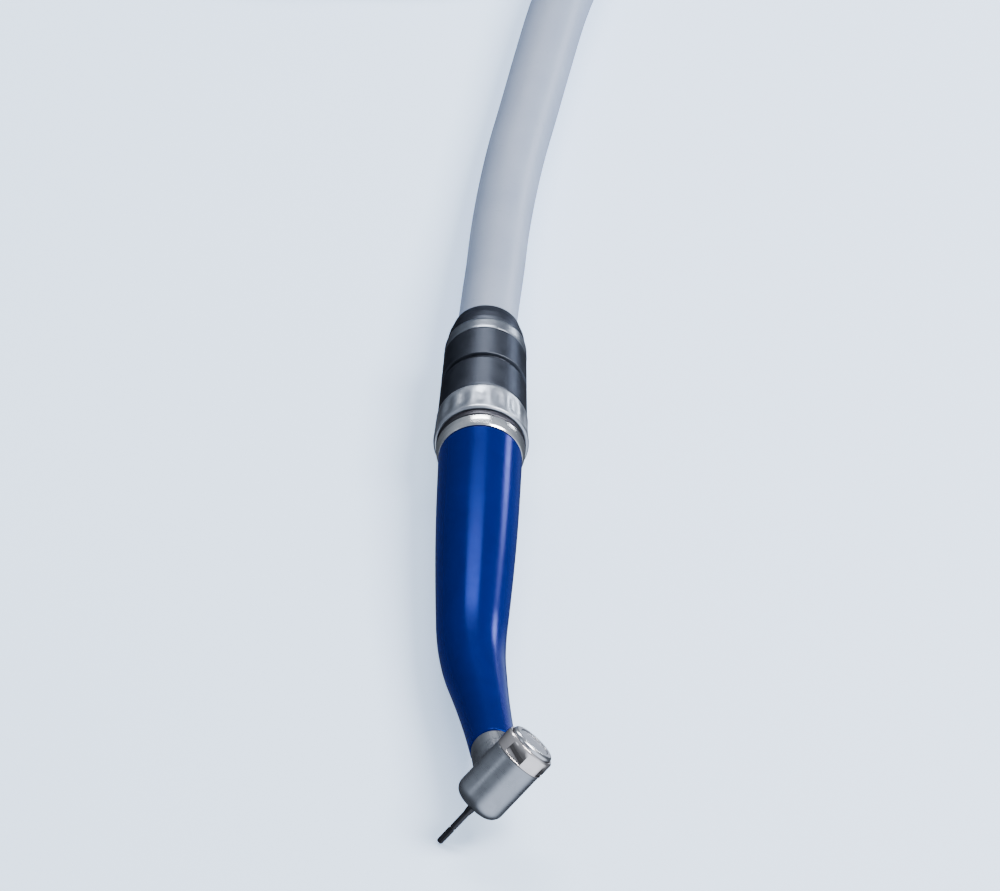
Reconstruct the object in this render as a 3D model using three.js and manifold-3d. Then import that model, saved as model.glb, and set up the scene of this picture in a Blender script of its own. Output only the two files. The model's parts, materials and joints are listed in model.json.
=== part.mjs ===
// High speed dental handpiece (air turbine) on its four-hole hose, in millimetres, +Z up.
// The handpiece is drawn about its own long axis and then laid on a table at z = 0.
// In the handpiece's frame Y runs along the body, towards the hose, with y = 0 at the rear
// edge of the body shell, and Z is the side that the neck bends towards.
// In the head's frame Y runs along the turbine's axis, towards the push button.

import * as THREE from "three";
import { mergeVertices } from "three/addons/utils/BufferGeometryUtils.js";
import Module from "manifold-3d";

const wasm = await Module();
wasm.setup();

// ---------------------------------------------------------------- driving dimensions

const DEGREE = Math.PI / 180;
const GAP = 0.1; // running and seating gap between pieces that touch in the real object

// How the handpiece lies.
const ROLL = 44 * DEGREE; // the bent side leans over, so the bur points down and to the left
const NOSE_DOWN = 2.15 * DEGREE; // the coupling nut's rim is the widest, so the nose is lower

// Body shell: outer radius at each distance forward of its rear edge.
const SHELL_RADII = [
  [0, 7.8], [17, 7.68], [30, 7.42], [42, 7.02], [54, 6.52], [61, 6.16], [68, 5.76],
  [75, 5.26], [82, 4.84], [90, 4.52], [97, 4.4],
];
const NECK_START = 97; // where the shell ends and the steel neck begins
const SHELL_WALL = 0.9;

// The centreline is straight, then an arc, then straight again into the head.
const BEND_START = 51;
const BEND_RADIUS = 84;
const BEND_ANGLE = 12 * DEGREE;
const HEAD_DISTANCE = 107.5; // along the centreline, from y = 0 to the turbine's axis
const HEAD_LEAN = 16 * DEGREE; // the turbine's axis, off square to the body

// Head, along the turbine's axis.
const HEAD_RADIUS = 5;
const HOUSING_BOTTOM = -7.3;
const HOUSING_TOP = 4.9;
const CHAMBER_RADIUS = 4.4;
const BEARING_SEAT = 3.6;
const NOSE_ROUND = 2.3;
const SPRAY_RECESS = 2.45; // radius of the seat for the spray ring
const SPRAY_SEAT = -6.7; // its end
const NOSE_HOLE = 1.35;
const CAP_RADIUS = 5.12;
const CAP_SKIRT = 1.7; // bottom of the skirt that holds the rear bearing
const CAP_FLOOR = 4.5;
const CAP_TOP = 8.4;
const CAP_TURN = 55 * DEGREE; // where the wrench notches stand
const NOTCH_DEPTH = 0.5;
const LIP_BOTTOM = 6.6; // the cap's inward lip, which keeps the push button in
const LIP_TOP = 7.4;
const LIP_RADIUS = 3.95;
const BUTTON_RADIUS = 4.45;
const BUTTON_DISC = 8.2; // underside of the button's disc
const BUTTON_TOP = 9.3;

// Turbine bearings, 6.35 x 3.175 x 2.38.
const BEARING_WIDTH = 2.38;
const BEARING_OUTER = 3.125;
const BEARING_INNER = 1.64;
const BALL_RADIUS = 0.5;
const BALL_PITCH = 2.38;
const BALL_COUNT = 7;
const FRONT_BEARING = -4.41; // the bearings' middles
const REAR_BEARING = 3;
const SPINDLE_RADIUS = 1.58;
const IMPELLER_BLADES = 12;

// Bur with the standard 1.6 friction-grip shank.
const SHANK_RADIUS = 0.8;
const BUR_TOP = 2.4;
const BUR_TIP = -16.7;
const BUR_JOIN = -12.9;

// Four-hole coupling behind the body.
const THREAD_RADIUS = 6;
const BASE_END = 14;
const CONNECTOR_START = 15.2;
const CONNECTOR_END = 32;
const PORTS = [ // x, z, radius of the passage: exhaust, drive air, water, chip air
  { name: "exhaust", x: -2.4, z: 1.6, radius: 1.4 },
  { name: "drive", x: 2.4, z: 1.6, radius: 1.1 },
  { name: "water", x: 1.8, z: -2.4, radius: 0.6 },
  { name: "chip", x: -1.8, z: -2.4, radius: 0.6 },
];
const NUT_FRONT = 4.4;
const NUT_END = 39.4;
const GRIP_FLUTES = 16;

// Hose: a run along the table, a flat hank of four turns in line with it, and a tail.
const HOSE_RADIUS = 5.5;
const TURN_PITCH = 11.1;
const HANK_INNER = 33; // bend radius of the inner turns, three hose diameters
const HANK_STRAIGHT = 58;
const HANK_X = -32; // middle of the near end loop
const HANK_Y = 256;
const TIE_LIFT = 1.1; // the hank lies on its two ties
const HOSE_ROUTE = [ // from the coupling's mouth, x and y from there and z above the table
  [0, 0, 9.95], [0, 8, 10.2], [0.4, 18, 10], [0.9, 30, 8.8], [1.3, 44, 7.1], [2.1, 58, 6],
  [3.5, 73, 5.6], [5.6, 89, 5.55], [7.7, 105, 5.55], [10, 121, 5.65], [12.9, 136, 5.9], [15.1, 152, 6.25],
];
const TAIL_TURN = 45 * DEGREE; // how far the tail turns on past the far end loop

// ---------------------------------------------------------------- materials

const finish = (color, roughness, metalness) => (
  new THREE.MeshStandardMaterial({ color, roughness, metalness })
);
const BLUE = finish(0x05308c, 0.28, 0.55);
const CHROME = finish(0xd8dde4, 0.16, 1);
const STEEL = finish(0xa3a8ae, 0.3, 1);
const DARK_METAL = finish(0x555c69, 0.38, 0.8);
const CARBIDE = finish(0x1b1b20, 0.4, 0.8);
const BRASS = finish(0xb89a55, 0.35, 1);
const CERAMIC = finish(0x2b2c30, 0.2, 0.1);
const CAGE = finish(0x8a6a3c, 0.6, 0);
const SEAL = finish(0x20242b, 0.7, 0);
const SILICONE = finish(0xb7c2ce, 0.45, 0);
const STRAP = finish(0x2e3238, 0.85, 0);
const NYLON = finish(0x8f979f, 0.5, 0);

// ---------------------------------------------------------------- shape helpers

function lathe(profile, segments) {
  const points = profile.map(([radius, y]) => new THREE.Vector2(radius, y));
  return new THREE.LatheGeometry(points, segments);
}

function ring(inner, outer, bottom, top, segments) {
  return lathe([[inner, bottom], [outer, bottom], [outer, top], [inner, top], [inner, bottom]], segments);
}

function rod(radius, bottom, top, segments) {
  return lathe([[0, bottom], [radius, bottom], [radius, top], [0, top]], segments);
}

function arcPoints(centreRadius, centreY, radius, from, to, steps) {
  const points = [];
  for (let i = 0; i <= steps; i += 1) {
    const angle = from + ((to - from) * i) / steps;
    points.push([centreRadius + radius * Math.cos(angle), centreY + radius * Math.sin(angle)]);
  }
  return points;
}

function polygon(radius, sides) {
  const points = [];
  for (let i = 0; i < sides; i += 1) {
    const angle = (2 * Math.PI * i) / sides;
    points.push(new THREE.Vector2(radius * Math.cos(angle), radius * Math.sin(angle)));
  }
  return points;
}

// Moves each vertex of a turned shape in or out, as shift(angle, radius, y) says.
function reshape(geometry, shift) {
  const position = geometry.attributes.position;
  for (let i = 0; i < position.count; i += 1) {
    const x = position.getX(i);
    const y = position.getY(i);
    const z = position.getZ(i);
    const radius = Math.hypot(x, z);
    const move = shift(Math.atan2(z, x), radius, y);
    const scale = radius > 0 ? (radius + (move.out ?? 0)) / radius : 1;
    position.setXYZ(i, x * scale, y + (move.up ?? 0), z * scale);
  }
  return geometry;
}

function waveRing(inner, outer, middle, thickness, height, waves, segments) {
  const flat = ring(inner, outer, middle - thickness / 2, middle + thickness / 2, segments);
  return reshape(flat, (angle) => ({ up: height * Math.sin(waves * angle) }));
}

function pipe(path, outer, inner, sides, steps) {
  const section = new THREE.Shape(polygon(outer, sides));
  if (inner > 0) {
    section.holes.push(new THREE.Path(polygon(inner, sides).reverse()));
  }
  return new THREE.ExtrudeGeometry(section, { steps, extrudePath: path, bevelEnabled: false });
}

function toSolid(geometry) {
  const bare = geometry.clone();
  bare.deleteAttribute("normal");
  bare.deleteAttribute("uv");
  const merged = mergeVertices(bare, 1e-4);
  const corners = merged.index.array;
  const kept = [];
  for (let i = 0; i < corners.length; i += 3) {
    const [a, b, c] = [corners[i], corners[i + 1], corners[i + 2]];
    if (a !== b && b !== c && c !== a) {
      kept.push(a, b, c);
    }
  }
  const vertProperties = new Float32Array(merged.attributes.position.array);
  return new wasm.Manifold(new wasm.Mesh({ numProp: 3, vertProperties, triVerts: new Uint32Array(kept) }));
}

function toGeometry(solid) {
  const mesh = solid.getMesh();
  const geometry = new THREE.BufferGeometry();
  geometry.setAttribute("position", new THREE.BufferAttribute(mesh.vertProperties, 3));
  geometry.setIndex(new THREE.BufferAttribute(mesh.triVerts, 1));
  return geometry;
}

function cut(geometry, tools) {
  return toGeometry(tools.reduce((solid, tool) => solid.subtract(toSolid(tool)), toSolid(geometry)));
}

function join(geometries) {
  return toGeometry(geometries.map(toSolid).reduce((whole, solid) => whole.add(solid)));
}

function place(parent, name, geometry, material) {
  const mesh = new THREE.Mesh(geometry, material);
  mesh.name = name;
  parent.add(mesh);
  return mesh;
}

// ---------------------------------------------------------------- the bent centreline

// The point on the centreline, and the directions beside it, at a distance forward of y = 0.
function along(distance) {
  const past = Math.max(0, distance - BEND_START);
  const angle = Math.min(past / BEND_RADIUS, BEND_ANGLE);
  const beyond = past - angle * BEND_RADIUS;
  const forward = new THREE.Vector3(0, -Math.cos(angle), Math.sin(angle));
  const upward = new THREE.Vector3(0, Math.sin(angle), Math.cos(angle));
  const point = new THREE.Vector3(
    0,
    -Math.min(distance, BEND_START) - BEND_RADIUS * Math.sin(angle),
    BEND_RADIUS * (1 - Math.cos(angle)),
  );
  return { point: point.addScaledVector(forward, beyond), forward, upward };
}

function offCentre(distance, x, z) {
  const { point, upward } = along(distance);
  return point.addScaledVector(upward, z).setX(x);
}

// Bends a shape turned about Y so that its y = -distance follows the centreline.
function bend(geometry) {
  const position = geometry.attributes.position;
  for (let i = 0; i < position.count; i += 1) {
    const moved = offCentre(-position.getY(i), position.getX(i), position.getZ(i));
    position.setXYZ(i, moved.x, moved.y, moved.z);
  }
  return geometry;
}

const HEAD_FRAME = new THREE.Matrix4()
  .makeRotationX(90 * DEGREE - HEAD_LEAN)
  .setPosition(along(HEAD_DISTANCE).point);

// ---------------------------------------------------------------- body and tubes

function bodyShell() {
  const outside = SHELL_RADII.map(([distance, radius]) => [radius, -distance - GAP]);
  const inside = SHELL_RADII.map(([distance, radius]) => [radius - SHELL_WALL, -distance - GAP]);
  const profile = [...outside.reverse(), ...inside, outside[0]];
  return bend(lathe(profile, 26));
}

function trimRing() {
  const inner = 7.05;
  const end = 2.9;
  return lathe([
    [inner, GAP], [7.9, GAP], [8.1, 0.5], [8.3, 2.6], [8.1, end], [inner, end], [inner, GAP],
  ], 28);
}

function portCutters(extra, bottom, top) {
  return PORTS.map(({ x, z, radius }) => rod(radius + extra, bottom, top, 8).translate(x, 0, z));
}

// The plug in the body's rear end: its flange clamps the trim ring, and the nut screws on behind.
function tubeBase() {
  const flange = { radius: 8.35, front: 3, back: 4.1 };
  const profile = [
    [0, -4], [6.6, -4], [6.6, 0.05], [6.9, GAP], [6.9, flange.front], [flange.radius, flange.front],
    [flange.radius, flange.back], [THREAD_RADIUS, flange.back + 0.1], [THREAD_RADIUS, BASE_END - 0.5],
    [THREAD_RADIUS - 0.5, BASE_END], [0, BASE_END],
  ];
  return cut(lathe(profile, 24), portCutters(0, -5, BASE_END + 1));
}

function innerTube(port, endX, endZ, radius) {
  const last = HEAD_DISTANCE - HEAD_RADIUS - 0.95;
  const points = [];
  for (const distance of [4.3, 16, 28, 40, 52, 60, 68, 76, 90, last]) {
    const share = THREE.MathUtils.smoothstep(distance, 10, 54);
    const x = THREE.MathUtils.lerp(port.x, endX, share);
    const z = THREE.MathUtils.lerp(port.z, endZ, share);
    points.push(offCentre(distance, x, z));
  }
  return pipe(new THREE.CatmullRomCurve3(points), radius, radius * 0.6, 6, 12);
}

function addBody(handpiece) {
  const [, drive, water, chip] = PORTS;
  place(handpiece, "body_shell", bodyShell(), BLUE);
  place(handpiece, "trim_ring", trimRing(), CHROME);
  place(handpiece, "tube_base", tubeBase(), STEEL);
  place(handpiece, "drive_air_tube", innerTube(drive, 1.2, 0, 1), STEEL);
  place(handpiece, "water_tube", innerTube(water, -1.3, -1, 0.45), BRASS);
  place(handpiece, "chip_air_tube", innerTube(chip, -1.3, 1, 0.45), BRASS);
}

// ---------------------------------------------------------------- head

function neck() {
  const spigot = 3.05;
  const start = NECK_START - 7;
  const shoulder = NECK_START + 0.3;
  const bore = 2.6;
  const end = -HEAD_DISTANCE + 1;
  const profile = [
    [bore, end], [4.8, end], [4.75, -103.5], [4.5, -101.5], [4.3, -shoulder], [spigot, -shoulder],
    [spigot, -start], [bore, -start], [bore, end],
  ];
  return bend(lathe(profile, 22));
}

function headHousing() {
  const wall = HEAD_RADIUS - 0.15;
  const seatTop = -2.75;
  const seatBottom = -5.85;
  const nose = arcPoints(
    HEAD_RADIUS - NOSE_ROUND, HOUSING_BOTTOM + NOSE_ROUND, NOSE_ROUND, -90 * DEGREE, 0, 4,
  );
  const barrel = lathe([
    [SPRAY_RECESS, HOUSING_BOTTOM], ...nose, [HEAD_RADIUS, HOUSING_TOP], [CHAMBER_RADIUS, HOUSING_TOP],
    [CHAMBER_RADIUS, seatTop], [BEARING_SEAT, seatTop], [BEARING_SEAT, seatBottom], [NOSE_HOLE, seatBottom],
    [NOSE_HOLE, SPRAY_SEAT], [SPRAY_RECESS, SPRAY_SEAT], [SPRAY_RECESS, HOUSING_BOTTOM],
  ], 28).applyMatrix4(HEAD_FRAME);
  const inside = rod(wall, HOUSING_BOTTOM - 5, CAP_TOP + 5, 28).applyMatrix4(HEAD_FRAME);
  const capRoom = rod(CAP_RADIUS + 2 * GAP, HOUSING_TOP, CAP_TOP + 5, 28).applyMatrix4(HEAD_FRAME);
  const plug = bend(rod(3, -HEAD_DISTANCE + 1, -HEAD_DISTANCE + HEAD_RADIUS + 0.6, 16));
  const stub = toGeometry(
    toSolid(neck()).add(toSolid(plug)).subtract(toSolid(inside)).subtract(toSolid(capRoom)),
  );
  const nozzle = bend(rod(0.6, -HEAD_DISTANCE + 2, -98, 8)).translate(1.6, 0, 0);
  const exhaust = bend(rod(0.8, -HEAD_DISTANCE + 2, -98, 8)).translate(-1.5, 0, 0);
  return cut(join([barrel, stub]), [nozzle, exhaust]);
}

// A wedge that cuts one wrench notch in the cap's side: a slot that tapers round the rim.
function wrenchNotch(turn) {
  const outline = new THREE.Shape([
    new THREE.Vector2(-1.9, 0.1), new THREE.Vector2(1.9, -0.05), new THREE.Vector2(1.9, 0.15),
    new THREE.Vector2(-1.9, 1.2),
  ]);
  const wedge = new THREE.ExtrudeGeometry(outline, { depth: 2, bevelEnabled: false });
  return wedge.translate(0, HOUSING_TOP + 0.35, CAP_RADIUS - NOTCH_DEPTH).rotateY(turn);
}

function backCap() {
  const spigot = CHAMBER_RADIUS - GAP;
  const rim = BUTTON_RADIUS + 0.12;
  const floor = CAP_FLOOR + 0.45;
  const hole = 1.8;
  const cap = lathe([
    [BEARING_SEAT, CAP_SKIRT], [spigot, CAP_SKIRT], [spigot, HOUSING_TOP + GAP],
    [CAP_RADIUS, HOUSING_TOP + GAP], [CAP_RADIUS, CAP_TOP - 0.5], [CAP_RADIUS - 0.3, CAP_TOP], [rim, CAP_TOP],
    [rim, LIP_TOP], [LIP_RADIUS, LIP_TOP], [LIP_RADIUS, LIP_BOTTOM], [spigot, LIP_BOTTOM],
    [spigot, floor + 0.35], [spigot - 0.4, floor], [hole, floor], [hole, CAP_FLOOR],
    [BEARING_SEAT, CAP_FLOOR], [BEARING_SEAT, CAP_SKIRT],
  ], 28);
  return cut(cap, [0, 1, 2, 3].map((i) => wrenchNotch(i * 90 * DEGREE + CAP_TURN)));
}

// A disc over the cap's lip, a flange under it, and a boss that pushes the chuck pin.
function pushButton() {
  const boss = 5.3;
  const flange = { radius: CHAMBER_RADIUS - 2 * GAP, bottom: 6.1, top: LIP_BOTTOM - GAP };
  const stem = LIP_RADIUS - 0.12;
  return lathe([
    [0, boss], [1, boss], [1, flange.bottom], [flange.radius, flange.bottom], [flange.radius, flange.top],
    [stem, flange.top], [stem, BUTTON_DISC], [BUTTON_RADIUS, BUTTON_DISC], [BUTTON_RADIUS, BUTTON_TOP - 0.35],
    [BUTTON_RADIUS - 0.35, BUTTON_TOP], [0, BUTTON_TOP],
  ], 26);
}

function sprayRing() {
  const jets = [];
  for (let i = 0; i < 3; i += 1) {
    const jet = rod(0.2, HOUSING_BOTTOM - 1, HOUSING_BOTTOM + 2, 6).translate(1.87, 0, 0);
    jets.push(jet.rotateY((2 * Math.PI * i) / 3));
  }
  return cut(ring(NOSE_HOLE, SPRAY_RECESS - GAP, HOUSING_BOTTOM, SPRAY_SEAT - GAP, 20), jets);
}

function addHead(handpiece, head) {
  place(handpiece, "head_housing", headHousing(), STEEL);
  place(head, "back_cap", backCap(), CHROME);
  place(head, "push_button", pushButton(), STEEL);
  place(head, "button_spring", waveRing(2.9, 3.6, 5.55, 0.15, 0.3, 3, 24), STEEL);
  place(head, "spray_ring", sprayRing(), STEEL);
}

// ---------------------------------------------------------------- turbine

function outerRace(middle) {
  const half = BEARING_WIDTH / 2;
  const groove = arcPoints(BALL_PITCH, middle, BALL_RADIUS + 0.05, 45 * DEGREE, -45 * DEGREE, 4);
  return lathe([
    [groove[0][0], middle - half], [BEARING_OUTER, middle - half], [BEARING_OUTER, middle + half],
    [groove[0][0], middle + half], ...groove, [groove[0][0], middle - half],
  ], 22);
}

function innerRace(middle) {
  const half = BEARING_WIDTH / 2;
  const groove = arcPoints(BALL_PITCH, middle, BALL_RADIUS + 0.05, 225 * DEGREE, 135 * DEGREE, 4);
  return lathe([
    [BEARING_INNER, middle - half], [groove[0][0], middle - half], ...groove,
    [groove[0][0], middle + half], [BEARING_INNER, middle + half], [BEARING_INNER, middle - half],
  ], 20);
}

function ballCage(middle) {
  const pieces = [ring(2.15, 2.62, middle - 0.3, middle + 0.3, 14)];
  for (let i = 0; i < BALL_COUNT; i += 1) {
    const ball = new THREE.SphereGeometry(BALL_RADIUS, 6, 4).translate(BALL_PITCH, middle, 0);
    pieces.push(ball.rotateY((2 * Math.PI * i) / BALL_COUNT));
  }
  return join(pieces);
}

function sealRing(middle) {
  const minor = 0.18;
  const major = (BEARING_OUTER + BEARING_SEAT) / 2;
  return lathe(arcPoints(major, middle, minor, 0, 2 * Math.PI, 5), 20);
}

function impeller() {
  const outline = [];
  const bladeStep = (2 * Math.PI) / IMPELLER_BLADES;
  for (let i = 0; i < IMPELLER_BLADES; i += 1) {
    const corners = [[2.3, 0], [3.2, 0.12], [4, 0.34], [3.9, 0.6], [3.1, 0.42], [2.3, 0.45]];
    for (const [radius, share] of corners) {
      const angle = (i + share) * bladeStep;
      outline.push(new THREE.Vector2(radius * Math.cos(angle), radius * Math.sin(angle)));
    }
  }
  const wheel = new THREE.Shape(outline);
  wheel.holes.push(new THREE.Path(polygon(SPINDLE_RADIUS + 0.06, 16).reverse()));
  const geometry = new THREE.ExtrudeGeometry(wheel, { depth: 2.4, bevelEnabled: false });
  return geometry.rotateX(-90 * DEGREE).translate(0, -1.4, 0);
}

function collet() {
  const slits = [];
  for (let i = 0; i < 3; i += 1) {
    const slit = new THREE.BoxGeometry(1.2, 6, 0.2).translate(0.9, -4, 0);
    slits.push(slit.rotateY((2 * Math.PI * i) / 3));
  }
  return cut(ring(SHANK_RADIUS + 0.05, 1.08, -5.7, 3.2, 16), slits);
}

function addTurbine(head) {
  for (const [side, middle] of [["front", FRONT_BEARING], ["rear", REAR_BEARING]]) {
    place(head, `${side}_outer_race`, outerRace(middle), STEEL);
    place(head, `${side}_inner_race`, innerRace(middle), STEEL);
    place(head, `${side}_ball_cage`, ballCage(middle), CAGE);
    place(head, `${side}_o_ring`, sealRing(middle), SEAL);
  }
  const washerMiddle = (REAR_BEARING + BEARING_WIDTH / 2 + CAP_FLOOR) / 2;
  place(head, "wave_washer", waveRing(2.5, 3.05, washerMiddle, 0.08, 0.08, 3, 18), STEEL);
  place(head, "spindle", ring(1.15, SPINDLE_RADIUS, -5.75, 4.35, 18), STEEL);
  place(head, "impeller", impeller(), CERAMIC);
  place(head, "collet", collet(), STEEL);
  place(head, "chuck_pin", rod(0.9, 3.95, 5.15, 12), STEEL);
}

function burShank() {
  return lathe([
    [0, BUR_JOIN], [0.6, BUR_JOIN], [0.62, -9.4], [SHANK_RADIUS, -8.2], [SHANK_RADIUS, BUR_TOP - 0.15],
    [SHANK_RADIUS - 0.15, BUR_TOP], [0, BUR_TOP],
  ], 16);
}

function burHead() {
  const blank = lathe([
    [0, BUR_TIP], [0.4, BUR_TIP], [0.62, BUR_TIP + 0.3], [0.62, BUR_JOIN - 0.5], [0.5, BUR_JOIN - GAP],
    [0, BUR_JOIN - GAP],
  ], 18);
  const blades = 6;
  return reshape(blank, (angle, radius, y) => {
    const turn = angle + 0.12 * (y - BUR_TIP);
    return { out: radius > 0.5 ? 0.05 * Math.cos(blades * turn) : 0 };
  });
}

// ---------------------------------------------------------------- four-hole coupling

function nipplePart(port) {
  const outer = port.radius * 0.72;
  return rod(outer, BASE_END - 1.6, CONNECTOR_START + 0.5, 8).translate(port.x, 0, port.z);
}

function couplingGasket() {
  const blank = rod(THREAD_RADIUS - 0.4, BASE_END + 0.15, CONNECTOR_START - 0.15, 24);
  return cut(blank, portCutters(-0.08, BASE_END, CONNECTOR_START));
}

function hoseConnector() {
  const flange = THREAD_RADIUS + 0.1;
  const body = lathe([
    [0, CONNECTOR_START], [flange, CONNECTOR_START], [flange, CONNECTOR_START + 2.4],
    [5.5, CONNECTOR_START + 2.6], [5.5, CONNECTOR_END], [0, CONNECTOR_END],
  ], 24);
  const passages = PORTS.map(({ x, z, radius }) => (
    rod(radius * 0.5, BASE_END - 3, CONNECTOR_END + 1, 8).translate(x, 0, z)
  ));
  return cut(join([body, ...PORTS.map(nipplePart)]), passages);
}

function nutSleeve() {
  const front = NUT_FRONT + GAP;
  const bore = THREAD_RADIUS + 0.3;
  const mouth = HOSE_RADIUS + 0.3;
  const shoulder = arcPoints(4.35, 35.4, 3, 12 * DEGREE, 48 * DEGREE, 2);
  return lathe([
    [bore, front], [7.3, front], [7.3, 12.05], [8.35, 12.1], [8.03, 20.9], [7.55, 21.1], [7.55, 22.3],
    [7.97, 22.5], [7.7, 30.5], [7.2, 30.6], [7.2, 33.9], ...shoulder, [6.3, 38.6], [6.2, NUT_END],
    [mouth, NUT_END], [mouth, 18], [bore, 18], [bore, front],
  ], 28);
}

function knurledRing() {
  const inner = 7.4;
  const blank = lathe([
    [inner, NUT_FRONT], [8.6, NUT_FRONT], [8.9, NUT_FRONT + 0.4], [8.75, 8], [8.5, 11.6], [8.3, 12],
    [inner, 12], [inner, NUT_FRONT],
  ], GRIP_FLUTES * 3);
  return reshape(blank, (angle, radius, y) => {
    const column = Math.round((angle / (2 * Math.PI)) * GRIP_FLUTES * 3);
    const grooved = column % 3 === 0 && radius > 8.4 && y > 4.9 && y < 11.7;
    return { out: grooved ? -0.25 : 0 };
  });
}

function addCoupling(handpiece) {
  place(handpiece, "coupling_gasket", couplingGasket(), SEAL);
  place(handpiece, "hose_connector", hoseConnector(), STEEL);
  place(handpiece, "nut_sleeve", nutSleeve(), DARK_METAL);
  place(handpiece, "knurled_ring", knurledRing(), CHROME);
  place(handpiece, "accent_ring", ring(7.25, 7.7, 30.7, 33.8, 28), CHROME);
}

// ---------------------------------------------------------------- hose

const HANK_OUTER = HANK_INNER + TURN_PITCH;

function stadium(radius, straight, arcSteps) {
  const points = [];
  for (const [middle, from] of [[0, Math.PI], [straight, 0]]) {
    for (let i = 0; i <= arcSteps; i += 1) {
      const angle = from + (Math.PI * i) / arcSteps;
      points.push(new THREE.Vector2(radius * Math.cos(angle), middle + radius * Math.sin(angle)));
    }
  }
  return points;
}

function hank() {
  const outline = new THREE.Shape(stadium(HANK_OUTER + HOSE_RADIUS, HANK_STRAIGHT, 12));
  outline.holes.push(new THREE.Path(stadium(HANK_INNER - HOSE_RADIUS, HANK_STRAIGHT, 12).reverse()));
  const height = 2 * HOSE_RADIUS + TURN_PITCH;
  const geometry = new THREE.ExtrudeGeometry(outline, { depth: height, bevelEnabled: false });
  return geometry.translate(HANK_X, HANK_Y, TIE_LIFT);
}

function tie(side) {
  const inside = { width: TURN_PITCH + 2 * HOSE_RADIUS + 0.4, height: TURN_PITCH + 2 * HOSE_RADIUS + 0.3 };
  const strap = 0.8;
  const width = 12;
  const frame = (extra) => [
    new THREE.Vector2(-inside.width / 2 - extra, -extra),
    new THREE.Vector2(inside.width / 2 + extra, -extra),
    new THREE.Vector2(inside.width / 2 + extra, inside.height + extra),
    new THREE.Vector2(-inside.width / 2 - extra, inside.height + extra),
  ];
  const band = new THREE.Shape(frame(strap));
  band.holes.push(new THREE.Path(frame(0).reverse()));
  const geometry = new THREE.ExtrudeGeometry(band, { depth: width, bevelEnabled: false });
  const middle = (HANK_INNER + HANK_OUTER) / 2;
  geometry.rotateX(90 * DEGREE);
  return geometry.translate(HANK_X + side * middle, HANK_Y + (HANK_STRAIGHT + width) / 2, TIE_LIFT - 0.15);
}

// Where the tail's straight end lies: a frame with Y along it, towards the unit fitting.
function tailFrame() {
  const start = new THREE.Vector3(
    HANK_X - HANK_INNER * Math.cos(TAIL_TURN),
    HANK_Y + HANK_STRAIGHT - HANK_INNER * Math.sin(TAIL_TURN),
    7.6,
  );
  const group = new THREE.Group();
  group.position.copy(start);
  group.rotation.set(1.5 * DEGREE, 0, TAIL_TURN - Math.PI, "ZXY");
  return group;
}

function addUnitEnd(tail) {
  const hose = new THREE.LineCurve3(new THREE.Vector3(0, 1, 0), new THREE.Vector3(0, 7, 0));
  place(tail, "hose_tail", pipe(hose, HOSE_RADIUS, 0, 10, 1), SILICONE);
  place(tail, "unit_strain_relief", lathe([
    [0, 7.3], [6, 7.3], [6.4, 13], [7.2, 20], [7.2, 22], [0, 22],
  ], 20), SEAL);
  const nut = lathe([[0, 22.3], [8.2, 22.3], [8.6, 22.8], [8.6, 28.5], [0, 28.5]], 6);
  place(tail, "unit_lock_nut", nut.rotateY(30 * DEGREE), NYLON);
  const flange = lathe([[0, 28.8], [8, 28.8], [8, 32], [5.6, 32], [5.6, 36], [0, 36]], 20);
  const barbs = PORTS.map(({ x, z, radius }) => (
    lathe([
      [0, 35], [radius, 35], [radius, 38], [radius + 0.3, 38.3], [radius - 0.1, 42], [0, 42],
    ], 8).translate(x, 0, z)
  ));
  const bores = PORTS.map(({ x, z, radius }) => rod(radius * 0.6, 37, 43, 6).translate(x, 0, z));
  place(tail, "unit_fitting", cut(join([flange, ...barbs]), bores), STEEL);
}

function addHose(cordGroup, exit) {
  const route = HOSE_ROUTE.map(([x, y, z]) => new THREE.Vector3(exit.x + x, exit.y + y, z));
  route[0].copy(exit);
  place(cordGroup, "hose_run", pipe(new THREE.CatmullRomCurve3(route), HOSE_RADIUS, 0, 10, 12), SILICONE);
  place(cordGroup, "hose_hank", hank(), SILICONE);
  place(cordGroup, "hank_tie_left", tie(-1), STRAP);
  place(cordGroup, "hank_tie_right", tie(1), STRAP);
  const tail = tailFrame();
  addUnitEnd(tail);
  cordGroup.add(tail);
}

// ---------------------------------------------------------------- the whole object

const handpiece = new THREE.Group();
const head = new THREE.Group();
head.applyMatrix4(HEAD_FRAME);
handpiece.add(head);

addBody(handpiece);
addHead(handpiece, head);
addTurbine(head);
place(head, "bur_shank", burShank(), STEEL);
place(head, "bur_head", burHead(), CARBIDE);
addCoupling(handpiece);

// Lay it on the table, with the origin under the middle of its box.
handpiece.rotation.set(NOSE_DOWN, ROLL, 0);
const box = new THREE.Box3().setFromObject(handpiece, true);
const middle = box.getCenter(new THREE.Vector3());
handpiece.position.set(-middle.x, -middle.y, -box.min.z);
handpiece.updateMatrixWorld(true);

const object = new THREE.Group();
object.add(handpiece);
addHose(object, handpiece.localToWorld(new THREE.Vector3(0, CONNECTOR_END + 3 * GAP, 0)));

export default object;
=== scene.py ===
"""Looks of the high speed dental handpiece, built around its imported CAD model.

Lengths in the tables below are millimetres. Pieces are drawn in the handpiece's own frame (Y along
the body towards the hose, y = 0 at the shell's rear edge, Z the side that the neck bends towards)
or in the head's frame (Y along the turbine towards the button), and are placed by the joints' axes.
"""
import json
import math

import bmesh
import bpy
import numpy as np
from mathutils import Matrix, Vector


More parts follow.
